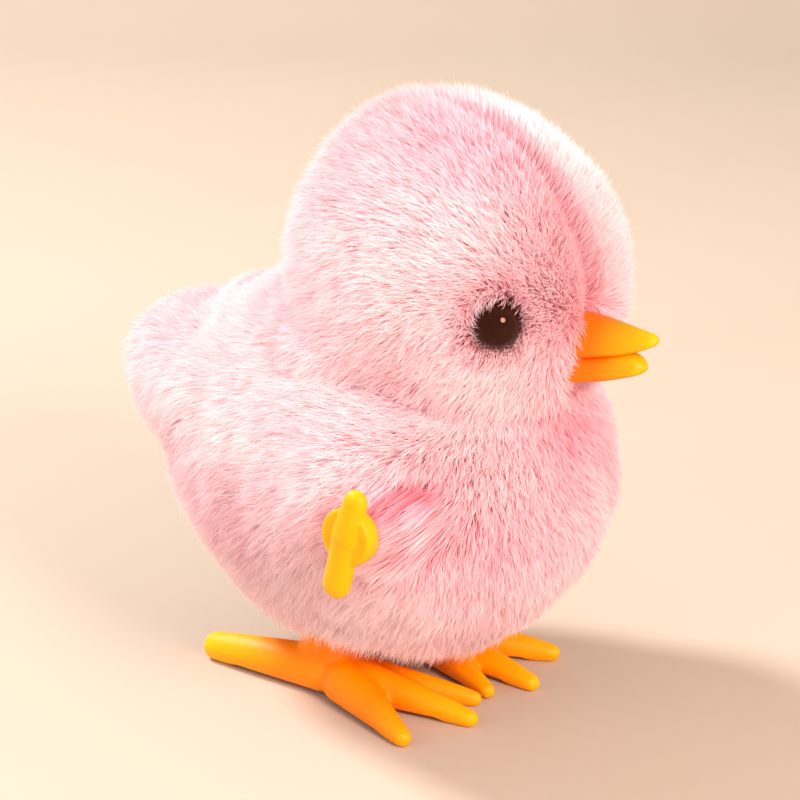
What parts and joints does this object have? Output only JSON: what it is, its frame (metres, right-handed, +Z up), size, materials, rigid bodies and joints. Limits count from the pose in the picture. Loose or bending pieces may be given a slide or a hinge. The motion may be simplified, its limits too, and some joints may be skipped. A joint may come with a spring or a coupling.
{
  "type": "wind-up hopping toy chick",
  "caption": "Wind-up hopping toy: plush chick with bead eyes and open beak over a clockwork movement that rocks a pair of three-toed feet, wound by a side key.",
  "frame": {"origin": "on the ground, in the chick's plane of symmetry, between the two feet", "axes": "-Y is the way the beak points, +Z is up, -X is the chick's right flank, where the winding key is"},
  "size_m": [0.0599, 0.0851, 0.0809],
  "materials": {
    "plush": "short pile plush, pale pink with deeper roots",
    "fibre_fill": "loose polyester fibre",
    "eye_bead": "polished, very dark brown",
    "washer_plastic": "satin",
    "beak_plastic": "satin, translucent at the edges",
    "base_plastic": "satin",
    "screw_steel": "zinc plated",
    "case_plastic": "satin",
    "pin_steel": "drawn wire",
    "key_plastic": "satin",
    "spring_steel": "blued spring steel",
    "ratchet_steel": "stamped",
    "gear_plastic": "natural acetal",
    "crank_plastic": "satin",
    "foot_plastic": "satin, translucent at the edges"
  },
  "bodies": {
    "chick": {"plush_right": "plush", "plush_left": "plush", "stuffing": "fibre_fill", "eye_right": "eye_bead", "eye_left": "eye_bead", "eye_washers": "washer_plastic", "beak": "beak_plastic", "beak_washer": "washer_plastic", "base_plate": "base_plastic", "base_screws": "screw_steel", "case_right": "case_plastic", "case_left": "case_plastic", "case_screws": "screw_steel", "train_pins": "pin_steel"},
    "winding": {"winding_key": "key_plastic", "winding_arbor": "pin_steel", "mainspring": "spring_steel", "ratchet_wheel": "ratchet_steel"},
    "great": {"great_wheel": "gear_plastic", "click": "ratchet_steel"},
    "second": {"second_wheel": "gear_plastic"},
    "third": {"third_wheel": "gear_plastic"},
    "crank": {"crank_wheel": "crank_plastic"},
    "feet": {"rocker": "crank_plastic", "foot_axle": "pin_steel", "foot_right": "foot_plastic", "foot_left": "foot_plastic"}
  },
  "joints": [
    {"name": "key_turn", "type": "hinge", "parent": "chick", "child": "winding", "pos_m": [0, -0.0125, 0.0335], "axis": [1, 0, 0], "continuous": true},
    {"name": "great_wheel_spin", "type": "hinge", "parent": "chick", "child": "great", "pos_m": [0, -0.0125, 0.0335], "axis": [1, 0, 0], "continuous": true},
    {"name": "second_wheel_spin", "type": "hinge", "parent": "chick", "child": "second", "pos_m": [0, -0.00307, 0.03007], "axis": [1, 0, 0], "continuous": true},
    {"name": "third_wheel_spin", "type": "hinge", "parent": "chick", "child": "third", "pos_m": [0, 0.00239, 0.02226], "axis": [1, 0, 0], "continuous": true},
    {"name": "crank_spin", "type": "hinge", "parent": "chick", "child": "crank", "pos_m": [0, 0.00978, 0.02653], "axis": [1, 0, 0], "continuous": true},
    {"name": "feet_rock", "type": "hinge", "parent": "chick", "child": "feet", "pos_m": [0, 0.0085, 0.015], "axis": [1, 0, 0], "range_deg": [0, 12]}
  ],
  "couplings": [
    {"joint": "great_wheel_spin", "follows": "key_turn", "ratio": 1},
    {"joint": "second_wheel_spin", "follows": "key_turn", "ratio": -3},
    {"joint": "third_wheel_spin", "follows": "key_turn", "ratio": 8.4},
    {"joint": "crank_spin", "follows": "key_turn", "ratio": -20.16}
  ]
}
